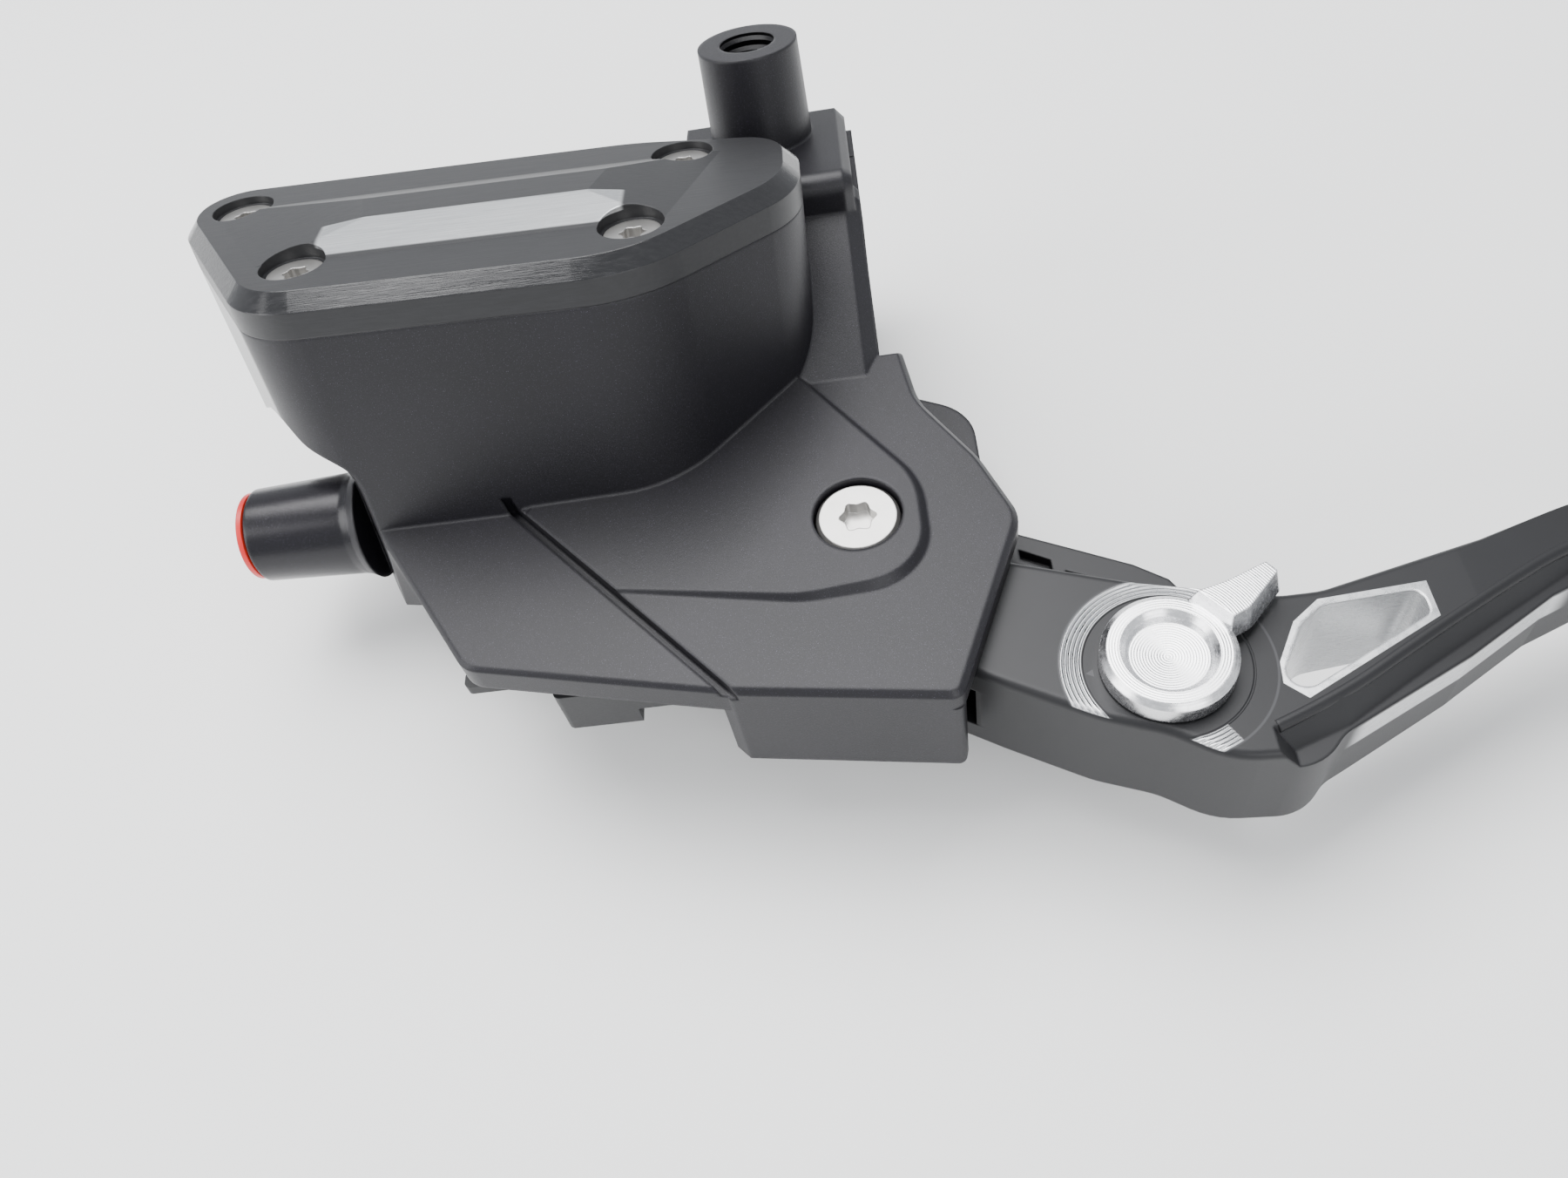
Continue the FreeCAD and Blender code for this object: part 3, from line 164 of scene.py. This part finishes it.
def housing_look():
    """Black painted casting, smoother on the outlet tube and threaded inside the mirror boss."""
    look = Look("cast_black")
    grain = look.noise(5.0, 3.0)
    cloud = look.noise(0.05, 3.0)
    speck = look.step(look.noise(9.0, 1.0), 0.66, 0.74)
    shade = look.mix(cloud, rgb(0.0065, 0.0065, 0.0075), rgb(0.011, 0.010, 0.014))
    colour = look.mix(look.math("MULTIPLY", speck, 0.5), shade, rgb(0.10, 0.09, 0.13))
    rough = look.range(grain, 0.34, 0.5)
    # the outlet tube is smoother and shinier than the casting
    tube = look.step(look.dot(look.point, (1.0, 0.0, 0.0)), TUBE_STARTS_X, TUBE_STARTS_X - 1.5)
    rough = look.mix(tube, rough, 0.2)
    normal = look.bump(grain, 0.35, 0.06, look.edges(0.7))
    # turned threads inside the mirror boss
    axis = Vector((0.0, 0.22495, 0.97437))
    local = look.moved(look.point, (-0.6, 5.8, 41.7))
    depth = look.dot(local, tuple(axis))
    across = look.node("VectorMath", {0: axis, "Scale": depth}, operation="SCALE")
    radial = look.node("VectorMath", {0: local, 1: across}, operation="SUBTRACT")
    reach = look.node("VectorMath", {0: radial}, out="Value", operation="LENGTH")
    near = look.all_of(look.step(reach, 4.6, 4.3), look.step(depth, 0.2, -0.6))
    wave = look.math("SINE", look.math("MULTIPLY", depth, 2 * math.pi / THREAD_PITCH))
    normal = look.bump(look.math("MULTIPLY", wave, near), 1.0, 1.2, normal)
    return finish(
        look, Base_Color=colour, Metallic=0.2, Roughness=rough, Normal=normal,
        Specular_IOR_Level=0.42,
    )


def lid_look():
    """Black machined lid: long tool marks, polished bevels and one facet coloured bright silver."""
    look = Look("lid_black")
    local = look.node("Mapping", {"Vector": look.point, "Location": LID_AT, "Rotation": LID_TURN},
                      vector_type="TEXTURE")
    up = look.node("Mapping", {"Vector": look.facing, "Rotation": LID_TURN}, vector_type="TEXTURE")
    x = look.dot(local, (1.0, 0.0, 0.0))
    y = look.dot(local, (0.0, 1.0, 0.0))
    z = look.dot(local, (0.0, 0.0, 1.0))
    tilt = look.dot(up, (0.0, 0.0, 1.0))
    lines = look.noise(2.0, 3.0, (0.06, 3.2, 3.2), local)
    streaks = look.noise(0.8, 4.0, (0.35, 2.4, 2.4), local)
    front = look.all_of(
        look.step(z, 1.35, 1.5), look.step(y, 8.75, 8.55), look.step(y, 1.0, 1.6),
        look.step(x, 2.0, 3.2), look.step(x, 45.2, 44.2),
    )
    bevel = look.all_of(look.step(tilt, 0.93, 0.85), look.step(tilt, 0.25, 0.4))
    black = look.mix(streaks, rgb(0.012, 0.012, 0.013), rgb(0.022, 0.022, 0.024))
    silver = look.mix(lines, rgb(0.42, 0.43, 0.44), rgb(0.86, 0.87, 0.88))
    colour = look.mix(front, black, silver)
    rough = look.range(lines, 0.30, 0.46)
    rough = look.mix(bevel, rough, look.range(streaks, 0.06, 0.22, 0.35, 0.65))
    rough = look.mix(front, rough, 0.28)
    normal = look.bump(lines, 0.25, 0.05, look.edges(0.25))
    normal = look.bump(look.math("MULTIPLY", streaks, bevel), 0.18, 0.08, normal)
    return finish(look, Base_Color=colour, Metallic=look.mix(front, 0.2, 1.0), Roughness=rough,
                  Normal=normal, Specular_IOR_Level=0.5)


def lever_look():
    """Black lever with bare metal where it is cut: the crescent, the window rim, the pocket; the
    crescent's grooves carry painted shade.
    """
    look = Look("lever_black")
    x = look.dot(look.point, (1.0, 0.0, 0.0))
    z = look.dot(look.point, (0.0, 0.0, 1.0))
    top = look.step(look.dot(look.facing, (0.0, 0.0, 1.0)), 0.6, 0.8)
    round_knob = look.moved(look.point, tuple(KNOB))
    reach = look.flat_length(round_knob)
    side = math.radians(-4.0)
    toward = look.dot(round_knob, (math.cos(side), math.sin(side), 0.0))
    sector = look.step(look.math("DIVIDE", toward, reach), 0.56, 0.54)
    band = look.all_of(look.step(reach, 10.55, 10.7), look.step(reach, 13.35, 13.2))
    crescent = look.all_of(top, band, sector, look.step(z, 8.0, 8.6))
    grooves = look.math("SINE", look.math("MULTIPLY", reach, 2 * math.pi / CRESCENT_PITCH))
    far = look.inside(WINDOW)
    rim = look.step(far, 0.95, 0.85)
    front = look.dot(look.facing, (0.45, -0.89, 0.0))
    pocket = look.all_of(
        look.step(front, 0.55, 0.7), look.step(x, 65.0, 68.0), look.step(x, 99.0, 95.0),
        look.step(z, 0.0, 0.6), look.step(z, 5.6, 5.0),
    )
    etched = look.all_of(top, look.step(reach, 13.1, 13.3), look.step(reach, 13.6, 13.4))
    ring = look.all_of(top, look.step(reach, 10.3, 10.5), look.step(reach, 10.75, 10.6))
    index = look.inside([(35.4, -93.7), (35.4, -92.7), (34.5, -93.2)])
    etched = look.math("MAXIMUM", etched, look.all_of(top, look.step(index, 0.05, 0.0)))
    bright = look.math("MAXIMUM", crescent, look.math("MAXIMUM", rim, pocket))
    grain = look.noise(7.0, 3.0)
    cutting = look.noise(1.2, 2.0, (0.6, 0.6, 6.0))
    black = look.mix(look.noise(0.08), rgb(0.009, 0.009, 0.010), rgb(0.014, 0.014, 0.016))
    black = look.mix(look.math("MULTIPLY", etched, 0.5), black, rgb(0.06, 0.06, 0.065))
    silver = look.mix(cutting, rgb(0.55, 0.56, 0.57), rgb(0.86, 0.86, 0.87))
    # painted shade: the crescent's silver is darker in each groove's trough and lighter on its crest,
    # in step with the groove bump
    painted_groove_shade = look.range(grooves, 0.25, 1.0, -1.0, 1.0)
    groove_shaded_silver = look.mix(painted_groove_shade, rgb(0.30, 0.31, 0.32), rgb(0.93, 0.93, 0.94))
    silver = look.mix(crescent, silver, groove_shaded_silver)
    colour = look.mix(bright, black, silver)
    rough = look.mix(bright, look.range(grain, 0.38, 0.5), look.range(cutting, 0.2, 0.36))
    normal = look.bump(grain, 0.15, 0.04, look.edges(0.5))
    normal = look.bump(look.math("MULTIPLY", grooves, crescent), 0.6, 0.25, normal)
    normal = look.bump(look.math("MULTIPLY", ring, -1.0), 0.5, 0.3, normal)
    return finish(look, Base_Color=colour, Metallic=look.mix(bright, 0.3, 1.0), Roughness=rough,
                  Normal=normal)


def turned_look(name, colour, dark, rough, centre, spacing, metallic=1.0):
    """Fine concentric tool marks about a vertical axis, with painted shade darkening each ring's
    trough on upward faces.
    """
    look = Look(name)
    reach = look.flat_length(look.moved(look.point, tuple(centre)))
    wobble = look.noise(1.5, 2.0)
    rings = look.math("SINE", look.math("MULTIPLY", reach, 2 * math.pi / spacing))
    upward = look.step(look.dot(look.facing, (0.0, 0.0, 1.0)), 0.6, 0.85)
    rings = look.math("MULTIPLY", rings, upward)
    # painted shade: colour darkens in each ring's trough and lightens on its crest, in step with the
    # ring bump
    shade = look.mix(look.range(rings, 0.0, 1.0, -1.0, 1.0), dark, colour)
    shade = look.mix(wobble, shade, colour)
    normal = look.bump(rings, 0.12, 0.05, look.edges(0.3))
    return finish(look, Base_Color=shade, Metallic=metallic, Normal=normal,
                  Roughness=look.range(wobble, rough - 0.05, rough + 0.08, 0.3, 0.7))


def plain_look(name, light, dark, rough, metallic=0.0, scale=3.0, strength=0.15, **more):
    """A simple surface with fine grain and slow variation in shade."""
    look = Look(name)
    grain = look.noise(scale, 3.0)
    slow = look.noise(0.12, 3.0)
    normal = look.bump(grain, strength, 0.06, look.edges(0.25))
    return finish(look, Base_Color=look.mix(slow, dark, light), Metallic=metallic, Normal=normal,
                  Roughness=look.range(grain, rough - 0.06, rough + 0.1), **more)


def paint_nodes():
    looks = {
        "cast_black": housing_look(),
        "lid_black": lid_look(),
        "lever_black": lever_look(),
        "steel": plain_look("steel", rgb(0.62, 0.61, 0.59), rgb(0.42, 0.41, 0.40), 0.33, 0.95, 4.0),
        "dark_steel": plain_look(
            "dark_steel", rgb(0.05, 0.05, 0.055), rgb(0.03, 0.03, 0.033), 0.3, 0.8),
        "bright_aluminium": turned_look(
            "bright_aluminium", rgb(0.88, 0.88, 0.89), rgb(0.62, 0.62, 0.64), 0.24, KNOB, 0.35),
        "bronze": plain_look("bronze", rgb(0.55, 0.38, 0.18), rgb(0.4, 0.27, 0.12), 0.35, 1.0),
        "rubber": plain_look("rubber", rgb(0.02, 0.02, 0.02), rgb(0.012, 0.012, 0.012), 0.7),
        "red_plastic": plain_look(
            "red_plastic", rgb(0.62, 0.012, 0.016), rgb(0.5, 0.008, 0.012), 0.3, 0.0, 1.0, 0.05,
            Subsurface_Weight=0.1),
        "black_plastic": plain_look(
            "black_plastic", rgb(0.02, 0.02, 0.022), rgb(0.012, 0.012, 0.013), 0.5),
        "clear_glass": plain_look(
            "clear_glass", rgb(0.7, 0.78, 0.74), rgb(0.6, 0.7, 0.66), 0.1, 0.0, 1.0, 0.02,
            Transmission_Weight=0.9),
    }
    slots = {part["node"]: part["material_slot"] for part in frame["record"]["subparts"]}
    for name, item in frame["nodes"].items():
        look = looks.get(slots.get(name))
        if look is None:
            continue
        for slot in item.material_slots:
            slot.material = look
    return looks


def add_bead(material):
    """The rolled bead along the front upper edge of the blade."""
    curve = bpy.data.curves.new("lever_bead", "CURVE")
    curve.dimensions = "3D"
    curve.bevel_depth = BEAD_RADIUS * MM
    curve.bevel_resolution = 6
    curve.use_fill_caps = True
    line = curve.splines.new("NURBS")
    line.points.add(len(BEAD) - 1)
    for point, (x, y) in zip(line.points, BEAD):
        fall = BEAD_SINK + max(0.0, x - BLADE_FALL_FROM_X) * BLADE_FALL_SLOPE
        point.co = (x * MM, y * MM, (BLADE_TOP - fall) * MM, 1.0)
    line.use_endpoint_u = True
    line.order_u = 3
    bead = bpy.data.objects.new("lever_bead", curve)
    bpy.context.scene.collection.objects.link(bead)
    bead.data.materials.append(material)
    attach(bead, "blade")


def build_stage():
    bottom = min(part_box(name)[0].z for name in frame["nodes"])
    bpy.ops.mesh.primitive_plane_add(size=6.0, location=(0.0, 0.0, bottom - 0.0002))
    floor = bpy.context.object
    floor.name = "floor"
    look = Look("floor_white")
    slow = look.noise(0.006, 4.0)
    fine = look.noise(0.4, 4.0)
    colour = look.mix(slow, rgb(0.82, 0.82, 0.815), rgb(0.88, 0.88, 0.875))
    floor.data.materials.append(
        finish(look, Base_Color=colour, Roughness=look.range(fine, 0.45, 0.6),
               Normal=look.bump(fine, 0.05, 0.3)))


def add_area(name, place, aim, size, power, colour=(1.0, 1.0, 1.0)):
    data = bpy.data.lights.new(name, "AREA")
    data.shape = "RECTANGLE"
    data.size = size[0]
    data.size_y = size[1]
    data.energy = power
    data.color = colour
    lamp = bpy.data.objects.new(name, data)
    bpy.context.scene.collection.objects.link(lamp)
    lamp.location = place
    lamp.rotation_euler = (Vector(aim) - Vector(place)).to_track_quat("-Z", "Y").to_euler()


def light_scene():
    add_area("light_over", (-0.15, 0.25, 0.9), (0.0, -0.04, 0.0), (0.9, 0.7), 19.0)
    add_area("light_left", (-0.8, -0.3, 0.45), (0.0, -0.05, 0.0), (0.5, 0.6), 5.5)
    add_area("light_front", (0.35, -0.8, 0.5), (0.0, -0.05, 0.0), (0.6, 0.4), 3.5)
    world = bpy.data.worlds.new("studio")
    bpy.context.scene.world = world
    world.use_nodes = True
    world.node_tree.nodes["Background"].inputs[0].default_value = (0.93, 0.96, 1.0, 1.0)
    world.node_tree.nodes["Background"].inputs[1].default_value = 0.95


def place_camera():
    pitch, yaw, roll = math.radians(39.44), math.radians(-4.62), math.radians(-8.82)
    level = math.cos(pitch)
    ahead = Vector((math.sin(yaw) * level, math.cos(yaw) * level, -math.sin(pitch)))
    right = Vector((math.cos(yaw), -math.sin(yaw), 0.0))
    over = right.cross(ahead)
    side = math.cos(roll) * right + math.sin(roll) * over
    over = -math.sin(roll) * right + math.cos(roll) * over
    tilt = Matrix.Rotation(math.radians(1.8), 3, "Y")
    tilt = tilt @ Matrix.Rotation(math.radians(-15.13), 3, "X")
    columns = [tilt @ side, tilt @ over, -(tilt @ ahead)]
    data = bpy.data.cameras.new("camera")
    data.lens = 28.79
    data.sensor_width = 36.0
    data.sensor_fit = "HORIZONTAL"
    data.dof.use_dof = False
    camera = bpy.data.objects.new("camera", data)
    bpy.context.scene.collection.objects.link(camera)
    turn = Matrix(columns).transposed().to_4x4()
    camera.matrix_world = Matrix.Translation(Vector((11.9, -174.3, 149.8)) * MM) @ turn
    bpy.context.scene.camera = camera


def main():
    looks = paint_nodes()
    add_bead(looks["lever_black"])
    build_stage()
    light_scene()
    place_camera()


main()
